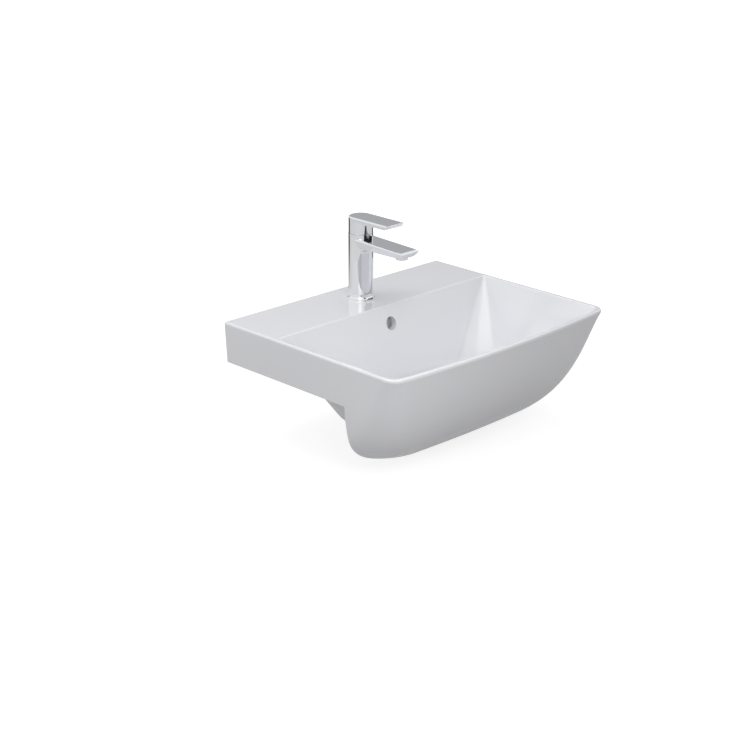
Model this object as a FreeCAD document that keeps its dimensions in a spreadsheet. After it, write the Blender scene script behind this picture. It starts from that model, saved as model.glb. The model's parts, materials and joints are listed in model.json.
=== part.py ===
import FreeCAD, Part

# Semi-recessed ceramic basin with a single-lever mixer tap and a click waste.
#
# Frame, in millimetres: +X to the right, +Y towards the wall, +Z up.
# x = 0 is the plane of symmetry, y = 0 the back face, and z = 0 the underside of the
# skirt, which is the plane of the counter top that it rests on.

import math
import os

import Sketcher

DRIVING_SIZES = [
    # basin, outside
    ("basin_width", 560, "width over the rim"),
    ("basin_depth", 452.5, "back face to the middle of the front edge"),
    ("rim_height", 78, "counter top to the deck and rim"),
    ("body_height", 219, "rim to the lowest point of the apron"),
    ("front_bow", 2600, "radius of the bowed front edge in plan"),
    ("skirt_taper", 9, "how far a side draws in over the whole height, before it turns under"),
    ("apron_lean", 62, "how far the front leans back over the whole height, before it turns under"),
    ("front_corner", 28, "plan radius of the front corners at the rim"),
    ("front_corner_growth", 75, "how much that radius grows down to the lowest point"),
    ("back_corner", 5, "plan radius of the back corners"),
    ("wall_cut", 0.2, "what is cut off the back to leave it flat for the wall"),
    ("shoulder_setback", 315, "back face to the shoulder that meets the counter's front"),
    ("outer_wall", 16, "thickness of the skirt and the apron"),
    ("deck_wall", 14, "thickness of the deck"),
    ("rim_round", 4, "radius on the rim's edges"),
    ("rim_band", 6, "height of the upright band that the rim's outer edge is rounded on"),
    # bowl
    ("bowl_width", 540, "width of the bowl at the rim"),
    ("deck_depth", 140, "back face to the bowl at the rim"),
    ("front_rim", 9.5, "width of the front rim"),
    ("bowl_depth", 150, "rim to the bowl's floor"),
    ("floor_dish", 6, "how far the floor dips round the drain"),
    ("floor_dish_radius", 100, "radius of that dip"),
    ("floor_round", 45, "radius between the walls and the floor"),
    ("bowl_wall", 11, "thickness of the bowl's wall"),
    ("bowl_side_lean", 78, "how far a side wall leans in over the bowl's depth"),
    ("bowl_back_lean", 54, "the same for the back wall"),
    ("bowl_front_lean", 59, "the same for the front wall"),
    ("bowl_back_corner", 3, "plan radius of the bowl's back corners at the rim"),
    ("bowl_front_corner", 19, "plan radius of the bowl's front corners at the rim"),
    ("bowl_floor_corner", 85, "plan radius of all four corners at the floor"),
    # drain and overflow
    ("drain_setback", 270, "back face to the drain's axis"),
    ("drain_hole", 23, "radius of the hole for the waste"),
    ("drain_recess", 33.5, "radius of the recess for the waste's flange"),
    ("drain_recess_depth", 4, "depth of that recess"),
    ("drain_boss", 36, "radius of the boss round the drain"),
    ("drain_boss_height", 38, "thickness through the boss, recess included"),
    ("overflow_hole", 12.5, "radius of the overflow hole"),
    ("overflow_height", 45, "counter top to the overflow hole's axis"),
    ("overflow_channel", 38, "width of the overflow channel"),
    ("overflow_wall", 7, "thickness of the channel's wall"),
    ("overflow_depth", 12, "depth of the channel, front to back and under the bowl"),
    # tap, outside
    ("tap_setback", 70, "back face to the tap's axis"),
    ("tap_hole", 17.5, "radius of the tap hole"),
    ("tap_radius", 23.4, "radius of the tap's body"),
    ("tap_foot", 25.6, "radius of its foot"),
    ("seam_height", 127.7, "deck to the seam between the tap's body and its lever"),
    ("pivot_height", 137, "deck to the axis about which the lever lifts"),
    ("socket_radius", 24.8, "ball socket in the top of the body, about the pivot"),
    ("spout_reach", 131, "tap's axis to the spout's tip"),
    ("spout_root_top", 120.2, "deck to the spout's top, at the axis"),
    ("spout_tip_top", 116, "the same at the tip"),
    ("spout_root_foot", 101, "deck to the spout's underside, at the axis"),
    ("spout_tip_foot", 103, "the same at the tip"),
    ("spout_root_half", 24, "half the spout's width on top at the axis, before its edges are rounded"),
    ("spout_tip_half", 24.2, "the same at the tip"),
    ("spout_turn_in", 6.2, "how far each side of the spout draws in to its underside"),
    ("spout_top_edge", 3.5, "radius of the spout's upper edges"),
    ("spout_foot_edge", 4, "radius of its lower edges"),
    ("spout_bevel_run", 4.4, "length of the bevel on top of the tip"),
    ("spout_bevel_drop", 2.5, "height of that bevel"),
    ("spout_undercut", 9, "how far the tip slants back to the underside"),
    ("spout_arch", 12, "radius under the spout where it meets the body"),
    ("spout_ramp_drop", 1, "how far the curve behind the spout's top reaches below the top's root"),
    ("outlet_reach", 108, "tap's axis to the outlet's axis"),
    ("outlet_radius", 11, "radius of the aerator's housing"),
    ("outlet_drop", 5.5, "how far the aerator's housing stands out of the spout"),
    ("outlet_top", 108, "deck to the seat of the aerator's seal"),
    ("insert_circle", 5.4, "radius of the circle of holes in the aerator's insert"),
    # tap, fixings under it
    ("base_seal", 22.4, "outside radius of the seal under the foot"),
    ("base_seal_inside", 19.1, "inside radius of that seal"),
    ("thread_depth", 14, "depth of the threads in the foot"),
    ("hose_thread", 5, "radius of a hose's thread"),
    ("hose_across", 8, "tap's axis to a hose, sideways"),
    ("hose_behind", 5, "tap's axis to a hose, backwards"),
    ("stud_radius", 4, "radius of the fixing stud"),
    ("stud_length", 74, "its length"),
    ("stud_ahead", 10, "tap's axis to the stud, forwards"),
    ("horseshoe_radius", 24, "radius of the horseshoe plate and of its rubber"),
    ("horseshoe_mouth", 29, "width of their mouth, which lets the hoses through"),
    ("horseshoe_thickness", 3, "thickness of each"),
    ("fixing_nut_height", 14, "height of the nut on the stud"),
    # lever
    ("lever_height", 160, "deck to the top of the lever"),
    ("lever_reach", 90, "tap's axis to the lever's tip"),
    ("lever_thickness", 8, "thickness of the lever"),
    ("lever_edge", 3, "radius of its upper edge"),
    ("lever_nose", 4.5, "height of the tip's upright face"),
    ("lever_undercut", 4.5, "how far the tip slants back to the underside"),
    ("hub_radius", 23, "radius of the lever's hub, and half the lever's width"),
    ("hub_inside", 22.6, "radius of the round space inside the hub"),
    ("hub_roof", 3, "thickness of the hub's top"),
    ("hub_throat_size", 5, "radius under the lever where it meets the hub"),
    ("hub_ball_depth", 10.3, "pivot to the hub's foot"),
    ("ball_radius", 24.5, "ball end of the lever's hub"),
    ("screw_height", 15, "pivot to the grub screw's axis"),
    ("screw_radius", 2.5, "radius of the grub screw"),
    ("cap_radius", 3.1, "radius of the cap over the screw"),
    ("dome_radius", 22.3, "outside of the dome cover"),
    ("dome_wall", 1, "thickness of the dome cover"),
    ("dome_neck", 14.8, "outside radius of the cover's screwed neck"),
    ("dome_opening", 13, "inside radius of that neck"),
    # cartridge, heights above the deck
    ("cartridge_foot", 102, "floor of the cartridge's seat"),
    ("cartridge_bore", 11.4, "radius of the housing's bore"),
    ("cartridge_body", 12.7, "radius of the housing above its flange"),
    ("cartridge_flange", 18.6, "radius of the housing's flange"),
    ("cartridge_seat", 15, "radius of the housing below its flange"),
    ("flange_low", 108, "underside of the flange"),
    ("flange_top", 112, "top of the flange, where the retaining nut bears"),
    ("housing_top", 131, "top of the housing"),
    ("housing_lip", 9.6, "radius of the opening in the housing's top"),
    ("nut_radius", 18.9, "outside radius of the retaining nut"),
    ("nut_thickness", 5, "height of the retaining nut"),
    ("port_seal_height", 1.6, "height of the seals under the ports"),
    ("port_radius", 2.4, "radius of a port"),
    ("port_across", 5.2, "tap's axis to an inlet port, sideways"),
    ("port_behind", 3.2, "tap's axis to an inlet port, backwards"),
    ("port_ahead", 5.6, "tap's axis to the outlet port, forwards"),
    ("base_radius", 12, "radius of the cartridge's base"),
    ("base_thickness", 6.6, "height of the base"),
    ("fixed_thickness", 4, "thickness of the fixed disc"),
    ("moving_radius", 8.2, "radius of the moving disc and its carrier"),
    ("moving_thickness", 3.5, "thickness of the moving disc"),
    ("disc_offset", 2.75, "how far behind the axis the moving disc rests"),
    ("guide_radius", 11.1, "radius of the lever guide in the housing"),
    ("guide_neck", 9.2, "radius of the guide above the housing"),
    ("guide_slot", 15.2, "length of the slot that the stem swings in"),
    ("stem_arm", 16, "pivot to the ball end of the stem"),
    ("stem_ball", 3, "radius of that ball end"),
    ("stem_square", 7, "side of the square stem"),
    ("pin_radius", 1.6, "radius of the pivot pin"),
    # waste
    ("waste_radius", 20.95, "radius of the waste's threaded tube"),
    ("waste_bore", 19, "radius inside the tube"),
    ("waste_length", 74.5, "flange to the tube's end"),
    ("waste_flange", 32.5, "radius of the flange"),
    ("flange_seal", 1.5, "thickness of the seal under the flange"),
    ("lower_seal", 5, "height of the tapered seal under the boss"),
    ("waste_nut_height", 9, "height of the back nut"),
    ("waste_slot", 11, "width of the overflow slots in the tube"),
    ("click_radius", 6.5, "radius of the click housing"),
    ("click_height", 19, "crossbar to the top of the click housing"),
    ("click_stem", 3, "radius of the plunger, and of the housing's thread"),
    ("click_spring", 4.5, "length of the spring as stored"),
    ("plug_radius", 31, "radius of the plug's cap"),
]

doc = FreeCAD.newDocument("semi_recessed_basin")
sizes = doc.addObject("Spreadsheet::Sheet", "sizes")
for row, (alias, size, meaning) in enumerate(DRIVING_SIZES, start=1):
    sizes.set(f"A{row}", meaning)
    sizes.set(f"B{row}", str(size))
    sizes.setAlias(f"B{row}", alias)
doc.recompute()

sub_parts = []


def number(expression):
    """The value that an expression on the sheet has now."""
    return float(sizes.evalExpression(str(expression)))


def bind(thing, **expressions):
    """Bind properties to expressions, such as bind(box, Length="sizes.basin_width")."""
    for name, expression in expressions.items():
        thing.setExpression(name, str(expression))
    return thing


def place(thing, across="0", back="0", up="0"):
    """Bind where a thing stands in the basin's frame."""
    thing.setExpression("Placement.Base.x", str(across))
    thing.setExpression("Placement.Base.y", str(back))
    thing.setExpression("Placement.Base.z", str(up))
    return thing


def pin_point(sketch, shape, end, across, along):
    """Fix one end of a sketched shape by two expressions, measured from the sketch's origin."""
    for kind, axis, expression in (("DistanceX", -2, across), ("DistanceY", -1, along)):
        if abs(number(expression)) < 1e-9:
            sketch.addConstraint(Sketcher.Constraint("PointOnObject", shape, end, axis))
        else:
            index = sketch.addConstraint(Sketcher.Constraint(kind, shape, end, number(expression)))
            sketch.setExpression(f"Constraints[{index}]", str(expression))


def hold(sketch, kind, *what, size):
    """Add a constraint whose size is an expression."""
    index = sketch.addConstraint(Sketcher.Constraint(kind, *what, number(size)))
    sketch.setExpression(f"Constraints[{index}]", str(size))


# ---------------------------------------------------------------- basin body

START, END, CENTRE = 1, 2, 3
SIDE_TURN = 5.0      # exponent of the curve by which the sides turn under the body
APRON_TURN = 3.5     # the same for the front
OUTER_LEVELS = (0, 0.18, 0.368, 0.54, 0.68, 0.8, 0.88, 0.935, 0.97)
DOME_CHORDS = 6          # straight steps that make up the dome cover's round section
DOME_TOP = 2.5           # degrees above the pivot at which the dome cover ends
AERATOR_HOLES = 6
SPRING_TURNS = 3


def turned_in(level, exponent):
    """Share of the way to the middle that a wall has turned in at a level from 0, the rim, to 1."""
    return round(1 - (1 - level ** exponent) ** (1 / exponent), 6)


def plane(body, role):
    """One of a body's own origin planes or axes."""
    return next(thing for thing in body.Origin.OriginFeatures if thing.Role == role)


def new_sketch(body, name, role="XY_Plane", offset="0"):
    """A sketch on one of the body's own origin planes, moved along its normal."""
    sketch = body.newObject("Sketcher::SketchObject", name)
    sketch.AttachmentSupport = (plane(body, role), [""])
    sketch.MapMode = "FlatFace"
    sketch.setExpression("AttachmentOffset.Base.z", str(offset))
    return sketch


def outline(body, name, up, side, back, front, back_corner, front_corner):
    """A level outline, symmetric about x = 0: straight back and sides, bowed front, round corners."""
    half = number(side)
    rear = number(back)
    r_back = number(back_corner)
    r_front = number(front_corner)
    r_bow = number("sizes.front_bow")
    bow_centre = number(front) + r_bow
    corner_x = half - r_front
    corner_y = bow_centre - math.sqrt((r_bow - r_front) ** 2 - corner_x ** 2)
    lean = math.atan2(corner_y - bow_centre, corner_x)
    sketch = new_sketch(body, name, offset=up)

    def line(x1, y1, x2, y2):
        return sketch.addGeometry(Part.LineSegment(FreeCAD.Vector(x1, y1, 0), FreeCAD.Vector(x2, y2, 0)))

    def arc(x, y, radius, start, end):
        circle = Part.Circle(FreeCAD.Vector(x, y, 0), FreeCAD.Vector(0, 0, 1), radius)
        return sketch.addGeometry(Part.ArcOfCircle(circle, start, end))

    back_line = line(half - r_back, rear, r_back - half, rear)
    back_left = arc(r_back - half, rear - r_back, r_back, math.pi / 2, math.pi)
    left = line(-half, rear - r_back, -half, corner_y)
    front_left = arc(-corner_x, corner_y, r_front, math.pi, math.pi - lean)
    bow = arc(0, bow_centre, r_bow, -math.pi - lean, lean)
    front_right = arc(corner_x, corner_y, r_front, lean, 0)
    right = line(half, corner_y, half, rear - r_back)
    back_right = arc(half - r_back, rear - r_back, r_back, 0, math.pi / 2)

    ring = [back_line, back_left, left, front_left, bow, front_right, right, back_right]
    for first, second in zip(ring, ring[1:] + ring[:1]):
        sketch.addConstraint(Sketcher.Constraint("Tangent", first, END, second, START))
    sketch.addConstraint(Sketcher.Constraint("Horizontal", back_line))
    sketch.addConstraint(Sketcher.Constraint("Vertical", left))
    sketch.addConstraint(Sketcher.Constraint("Vertical", right))
    sketch.addConstraint(Sketcher.Constraint("Equal", back_left, back_right))
    sketch.addConstraint(Sketcher.Constraint("Equal", front_left, front_right))
    sketch.addConstraint(Sketcher.Constraint("PointOnObject", bow, CENTRE, -2))
    hold(sketch, "Radius", back_left, size=back_corner)
    hold(sketch, "Radius", front_left, size=front_corner)
    hold(sketch, "Radius", bow, size="sizes.front_bow")
    hold(sketch, "DistanceX", right, END, size=side)
    hold(sketch, "DistanceY", back_right, END, size=back)
    hold(sketch, "DistanceY", bow, CENTRE, size=f"{front} + sizes.front_bow")
    return sketch


def loft(body, name, sections, ruled):
    """A solid through level outlines."""
    solid = body.newObject("PartDesign::AdditiveLoft", name)
    solid.Profile = (sections[0], [""])
    solid.Sections = [(section, [""]) for section in sections[1:]]
    solid.Ruled = ruled
    body.Tip = solid
    doc.recompute()
    return solid


def edge_names(feature, wanted):
    """Names of a feature's edges that pass a test."""
    return [f"Edge{count}" for count, edge in enumerate(feature.Shape.Edges, start=1) if wanted(edge)]


def level_edge(height):
    """A test for edges that lie wholly at one height, given as an expression."""
    up = number(height)

    def wanted(edge):
        box = edge.BoundBox
        return abs(box.ZMin - up) < 1e-4 and abs(box.ZMax - up) < 1e-4
    return wanted


def dress(body, kind, name, base, edges, **expressions):
    """A fillet or chamfer on named edges."""
    feature = body.newObject(f"PartDesign::{kind}", name)
    feature.Base = (base, edges)
    bind(feature, **expressions)
    body.Tip = feature
    doc.recompute()
    return feature


def outside_form(name, inset, top="sizes.rim_height"):
    """The basin's outside below a height, without its narrower bowl, moved inwards by an expression."""
    body = doc.addObject("PartDesign::Body", name)
    sections = []
    for count, level in enumerate(OUTER_LEVELS):
        side_turn = turned_in(level, SIDE_TURN)
        apron_turn = turned_in(level, APRON_TURN)
        half = "sizes.basin_width / 2"
        reach = "sizes.basin_depth / 2"
        sections.append(outline(
            body, f"{name}_outline_{count}",
            up=f"sizes.rim_height - sizes.body_height * {level}" if level else top,
            side=f"{half} - sizes.skirt_taper * {level} - ({half} - sizes.skirt_taper) * {side_turn} - {inset}",
            back=f"sizes.wall_cut - {inset}",
            front=f"-sizes.basin_depth + sizes.apron_lean * {level}"
                  f" + ({reach} - sizes.apron_lean) * {apron_turn} + {inset}",
            back_corner="sizes.back_corner",
            front_corner=f"sizes.front_corner + sizes.front_corner_growth * {level} - {inset}"))
    loft(body, f"{name}_loft", sections, ruled=False)
    return body


def upright_band(body, name, section, height):
    """Carry a level outline straight up by an expression."""
    band = body.newObject("PartDesign::Pad", name)
    band.Profile = (section, [""])
    bind(band, Length=height)
    body.Tip = band
    doc.recompute()
    return band


def flat_at_wall(body, name):
    """Cut a body flat at the wall, y = 0."""
    width = "sizes.basin_width"
    block = body.newObject("PartDesign::SubtractiveBox", name)
    bind(block, Length=f"2 * {width}", Width=width, Height=f"2 * {width}")
    place(block, f"-{width}", "0", f"-{width}")
    body.Tip = block
    doc.recompute()
    return block


def bowl_form(name, grow):
    """The bowl: flat leaning walls, corners that widen downwards, a rounded floor edge; grown by an expression."""
    body = doc.addObject("PartDesign::Body", name)
    side = f"sizes.bowl_width / 2 + {grow}"
    back = f"-sizes.deck_depth + {grow}"
    front = f"-sizes.basin_depth + sizes.front_rim - {grow}"
    floor = f"sizes.rim_height - sizes.bowl_depth - {grow}"
    rim = outline(
        body, f"{name}_rim", up="sizes.rim_height", side=side, back=back, front=front,
        back_corner=f"sizes.bowl_back_corner + {grow}", front_corner=f"sizes.bowl_front_corner + {grow}")
    foot = outline(
        body, f"{name}_floor", up=floor, side=f"{side} - sizes.bowl_side_lean",
        back=f"{back} - sizes.bowl_back_lean", front=f"{front} + sizes.bowl_front_lean",
        back_corner=f"sizes.bowl_floor_corner + {grow}", front_corner=f"sizes.bowl_floor_corner + {grow}")
    walls = loft(body, f"{name}_walls", [rim, foot], ruled=True)
    dress(body, "Fillet", f"{name}_floor_round", walls, edge_names(walls, level_edge(floor)),
          Radius=f"sizes.floor_round + {grow}")
    return body


def turned(name, corners, back="0", across="0"):
    """A piece turned about an upright axis, from a half section whose corners are expressions."""
    body = doc.addObject("PartDesign::Body", name)
    turn = body.newObject("PartDesign::Revolution", f"{name}_turn")
    sketch = profile(body, f"{name}_section", corners)
    turn.Profile = (sketch, [""])
    turn.ReferenceAxis = (sketch, ["V_Axis"])
    turn.Angle = 360
    body.Tip = turn
    return place(body, across, back)


def finish(thing, label=None):
    """List a finished sub-part under its label."""
    if label:
        thing.Label = label
    sub_parts.append(thing)
    return thing


def group(name, things):
    """Separate solids that make one sub-part."""
    compound = doc.addObject("Part::Compound", name)
    compound.Links = things
    return compound


def fused(name, *things):
    """Things joined into one."""
    result = doc.addObject("Part::MultiFuse", name)
    result.Shapes = list(things)
    return result


def cut(name, base, *tools):
    """A thing with one or more others taken out of it."""
    result = doc.addObject("Part::Cut", name)
    result.Base = base
    result.Tool = tools[0] if len(tools) == 1 else fused(f"{name}_tools", *tools)
    return result


def common(name, base, tool):
    """What two things share."""
    result = doc.addObject("Part::Common", name)
    result.Base = base
    result.Tool = tool
    return result


def sphere(name, radius, back, up):
    """A ball bound to expressions, placed by its centre."""
    return place(bind(doc.addObject("Part::Sphere", name), Radius=radius), "0", back, up)


def cross_cylinder(name, radius, length, across, back, up):
    """A cylinder along X, placed by the centre of its left end."""
    drum = bind(doc.addObject("Part::Cylinder", name), Radius=radius, Height=length)
    drum.Placement = FreeCAD.Placement(FreeCAD.Vector(), FreeCAD.Rotation(FreeCAD.Vector(0, 1, 0), 90))
    return place(drum, across, back, up)


def back_cylinder(name, radius, length, back, up):
    """A cylinder along Y, placed by the centre of its front end."""
    drum = bind(doc.addObject("Part::Cylinder", name), Radius=radius, Height=length)
    drum.Placement = FreeCAD.Placement(FreeCAD.Vector(), FreeCAD.Rotation(FreeCAD.Vector(1, 0, 0), -90))
    return place(drum, "0", back, up)


def box(name, length, width, height, across="0", back="0", up="0"):
    """A block bound to expressions, placed by its lowest corner."""
    block = bind(doc.addObject("Part::Box", name), Length=length, Width=width, Height=height)
    return place(block, across, back, up)


def cylinder(name, radius, height, across="0", back="0", up="0"):
    """An upright cylinder bound to expressions, placed by the centre of its foot."""
    drum = bind(doc.addObject("Part::Cylinder", name), Radius=radius, Height=height)
    return place(drum, across, back, up)


def profile(body, name, corners, role="XZ_Plane", offset="0"):
    """A closed polygon in a body's own plane, each corner fixed by two expressions."""
    sketch = new_sketch(body, name, role, offset)
    spots = [FreeCAD.Vector(number(across), number(along), 0) for across, along in corners]
    lines = [sketch.addGeometry(Part.LineSegment(first, second))
             for first, second in zip(spots, spots[1:] + spots[:1])]
    for first, second in zip(lines, lines[1:] + lines[:1]):
        sketch.addConstraint(Sketcher.Constraint("Coincident", first, END, second, START))
    for line, (across, along) in zip(lines, corners):
        pin_point(sketch, line, START, across, along)
    return sketch


def side_pad(name, corners, width, back="0"):
    """A side view, drawn towards the wall and up, made as wide as an expression about x = 0."""
    body = doc.addObject("PartDesign::Body", name)
    pad = body.newObject("PartDesign::Pad", f"{name}_pad")
    pad.Profile = (profile(body, f"{name}_side", corners, role="YZ_Plane"), [""])
    pad.SideType = "Symmetric"
    bind(pad, Length=width)
    body.Tip = pad
    place(body, back=back)
    doc.recompute()
    return body


def behind_bowl(up, beyond):
    """How far back the outside of the bowl's back wall stands at a height, plus a distance."""
    slope = f"sizes.bowl_back_lean / sizes.bowl_depth * (sizes.rim_height - ({up}))"
    return f"-sizes.deck_depth - {slope} + sizes.bowl_wall + {beyond}"


def make_basin_body():
    """The ceramic casting: skirt, deck and apron as one shell, with the bowl hung in it."""
    far = "sizes.basin_width"
    outside = outside_form("outside", "0", top="sizes.rim_height - sizes.rim_band")
    upright_band(outside, "rim_band", doc.getObject("outside_outline_0"), "sizes.rim_band")
    flat_at_wall(outside, "wall_flat")
    top_edges = edge_names(outside.Tip, level_edge("sizes.rim_height"))
    dress(outside, "Fillet", "outside_rim_round", outside.Tip, top_edges, Radius="sizes.rim_round")
    counter = box("counter_space", f"{far} * 2", f"{far}", f"{far}",
                  f"-{far}", "-sizes.shoulder_setback", f"-{far}")
    deck_space = box("deck_space", f"{far} * 2", f"{far} * 2", f"{far} + sizes.rim_height - sizes.deck_wall",
                     f"-{far}", f"-{far}", f"-{far}")
    cavity = common("below_deck", outside_form("cavity", "sizes.outer_wall"), deck_space)
    bowl_back = bowl_form("bowl_back", "sizes.bowl_wall")
    solid = cut("on_counter", outside, cut("counter_round_bowl", counter, bowl_back))
    solid = cut("shell", solid, cut("cavity_round_bowl", cavity, bowl_back))

    floor = "sizes.rim_height - sizes.bowl_depth"
    sunk_floor = f"{floor} - sizes.floor_dish"
    drain = {"back": "-sizes.drain_setback"}
    boss = cylinder("drain_boss", "sizes.drain_boss", f"sizes.drain_boss_height + sizes.floor_dish", **drain,
                    up=f"{sunk_floor} - sizes.drain_boss_height")
    wall = "sizes.overflow_wall"
    channel_top = "sizes.overflow_height + sizes.overflow_hole"
    depth = "sizes.overflow_depth"
    run_top = f"{floor} - sizes.bowl_wall - 10"
    channel_foot = f"{run_top} - {depth}"
    into_drain = "-sizes.drain_setback + sizes.drain_hole / 2"
    channel = side_pad("overflow_channel", (
        (behind_bowl(channel_top, "1"), channel_top),
        (behind_bowl(run_top, "1"), run_top),
        (into_drain, run_top),
        (into_drain, channel_foot),
        (behind_bowl(channel_foot, f"1 + {depth}"), channel_foot),
        (behind_bowl(channel_top, f"1 + {depth}"), channel_top)), "sizes.overflow_channel")
    duct_top = "sizes.rim_height - sizes.deck_wall / 2"
    duct_foot = f"{channel_foot} - {wall}"
    in_floor = f"{floor} - sizes.bowl_wall / 2"
    duct = side_pad("overflow_duct", (
        (behind_bowl(duct_top, "-4"), duct_top),
        (behind_bowl(in_floor, "-4"), in_floor),
        (into_drain, in_floor),
        (into_drain, duct_foot),
        (behind_bowl(duct_foot, f"1 + {depth} + {wall}"), duct_foot),
        (behind_bowl(duct_top, f"1 + {depth} + {wall}"), duct_top)), f"sizes.overflow_channel + 2 * {wall}")
    for count, addition in enumerate((boss, duct)):
        solid = fused(f"casting_{count}", solid, addition)

    dish = bind(place(doc.addObject("Part::Cone", "floor_dip"), **drain, up=sunk_floor),
                Radius1="sizes.drain_recess", Radius2="sizes.floor_dish_radius", Height="sizes.floor_dish")
    recess = cylinder("drain_recess", "sizes.drain_recess", "sizes.drain_recess_depth + sizes.floor_dish", **drain,
                      up=f"{sunk_floor} - sizes.drain_recess_depth")
    drain_hole = cylinder("drain_hole", "sizes.drain_hole", "sizes.drain_boss_height * 2", **drain,
                          up=f"{sunk_floor} - sizes.drain_boss_height * 1.5")
    overflow = bind(doc.addObject("Part::Cylinder", "overflow_hole"), Radius="sizes.overflow_hole", Height="40")
    overflow.Placement = FreeCAD.Placement(FreeCAD.Vector(), FreeCAD.Rotation(FreeCAD.Vector(1, 0, 0), -90))
    place(overflow, back=behind_bowl("sizes.overflow_height", "8 - 40"), up="sizes.overflow_height")
    tap_hole = cylinder("tap_hole", "sizes.tap_hole", "sizes.deck_wall * 2",
                        back="-sizes.tap_setback", up="sizes.rim_height - sizes.deck_wall * 1.5")
    bowl = bowl_form("bowl", "0")
    for count, space in enumerate((bowl, dish, recess, drain_hole, channel, overflow, tap_hole)):
        solid = cut(f"hollowed_{count}", solid, space)
    doc.recompute()

    basin = doc.addObject("PartDesign::Body", "basin_body")
    basin.BaseFeature = solid
    doc.recompute()
    cast = basin.Group[0]
    rim_x = number("sizes.bowl_width / 2 + 0.5")
    rim_y = number("-sizes.deck_depth + 0.5")
    level = level_edge("sizes.rim_height")

    def bowl_rim(edge):
        limits = edge.BoundBox
        return level(edge) and limits.XMax < rim_x and limits.XMin > -rim_x and limits.YMax < rim_y
    dress(basin, "Fillet", "bowl_rim_round", cast, edge_names(cast, bowl_rim), Radius="sizes.rim_round")
    return basin


# ---------------------------------------------------------------- tap

TAP = "-sizes.tap_setback"
WATERWAY_RISE = 3.8      # degrees by which the spout's waterway climbs to the outlet
PORTS = (                # the cartridge's ports: name, across and behind the tap's axis
    ("left", "-sizes.port_across", "sizes.port_behind"),
    ("right", "sizes.port_across", "sizes.port_behind"),
    ("outlet", "0", "-sizes.port_ahead"))


def on_deck(up):
    """A height above the deck, in the basin's frame."""
    return f"sizes.rim_height + {up}"


def ring(name, outside, inside, low, high, back="0", across="0"):
    """A flat ring turned about an upright axis, placed by expressions."""
    return turned(name, ((inside, low), (outside, low), (outside, high), (inside, high)), back, across)


def flare(name, radius, size, half_width, up, direction):
    """The hollow curve by which the tap's round body widens into an arm, no wider than the arm itself.

    It is turned about the tap's axis, and starts a little inside the body so that the two join cleanly.
    With direction 1 it widens upwards to the height `up`, with direction -1 it widens downwards to it.
    """
    inset = "0.3"
    overlap = "1.2"
    outer = f"{radius} + {size} - {inset}"
    low = f"{up} - {size}" if direction > 0 else f"{up} - {overlap}"
    drum = cylinder(f"{name}_drum", outer, f"{size} + {overlap} - {inset}", "0", TAP, low)
    hollow = bind(doc.addObject("Part::Torus", f"{name}_hollow"), Radius1=outer, Radius2=size)
    place(hollow, "0", TAP, f"{up} - ({direction}) * {size}")
    width = box(f"{name}_width", f"2 * ({half_width})", outer, f"{size} * 3", f"-({half_width})",
                f"{TAP} - ({outer})", f"{up} - {size} * 1.5")
    return common(name, cut(f"{name}_ring", drum, hollow), width)


def make_spout():
    """The spout: a bar with rounded edges that leans in to its underside, and a slanted, bevelled tip."""
    reach = "sizes.spout_reach"
    spout = doc.addObject("PartDesign::Body", "spout")
    sections = []
    for end, out in (("root", "0"), ("tip", reach)):
        half_top = f"sizes.spout_{end}_half"
        half_foot = f"{half_top} - sizes.spout_turn_in"
        high = on_deck(f"sizes.spout_{end}_top")
        low = on_deck(f"sizes.spout_{end}_foot")
        sections.append(profile(spout, f"spout_{end}", (
            (f"-({half_foot})", low), (half_foot, low), (half_top, high), (f"-{half_top}", high)), offset=out))
    bar = loft(spout, "spout_bar", sections, ruled=True)
    middle = number(on_deck("(sizes.spout_tip_foot + sizes.spout_tip_top) / 2"))
    long = number(reach) * 0.9
    for side, radius, wanted in (
            ("foot", "sizes.spout_foot_edge", lambda box: box.YLength > long and box.ZMax < middle),
            ("top", "sizes.spout_top_edge", lambda box: box.YLength > long and box.ZMin > middle)):
        bar = dress(spout, "Fillet", f"spout_{side}_round", bar,
                    edge_names(bar, lambda edge: wanted(edge.BoundBox)), Radius=radius)
    place(spout, back=TAP)
    tip = f"-{reach}"
    high = on_deck("sizes.spout_tip_top")
    low = on_deck("sizes.spout_tip_foot")
    run = "sizes.spout_bevel_run"
    drop = "sizes.spout_bevel_drop"
    beyond = "20"
    slant = side_pad("spout_slant", (
        (f"{tip} - {beyond}", f"{high} + 2 * {drop}"), (f"{tip} + 3 * {run}", f"{high} + 2 * {drop}"),
        (tip, f"{high} - {drop}"), (f"{tip} + sizes.spout_undercut", low),
        (f"{tip} + sizes.spout_undercut", f"{low} - {beyond}"), (f"{tip} - {beyond}", f"{low} - {beyond}")),
        "4 * sizes.spout_tip_half", TAP)
    return cut("spout_shape", spout, slant)


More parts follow.
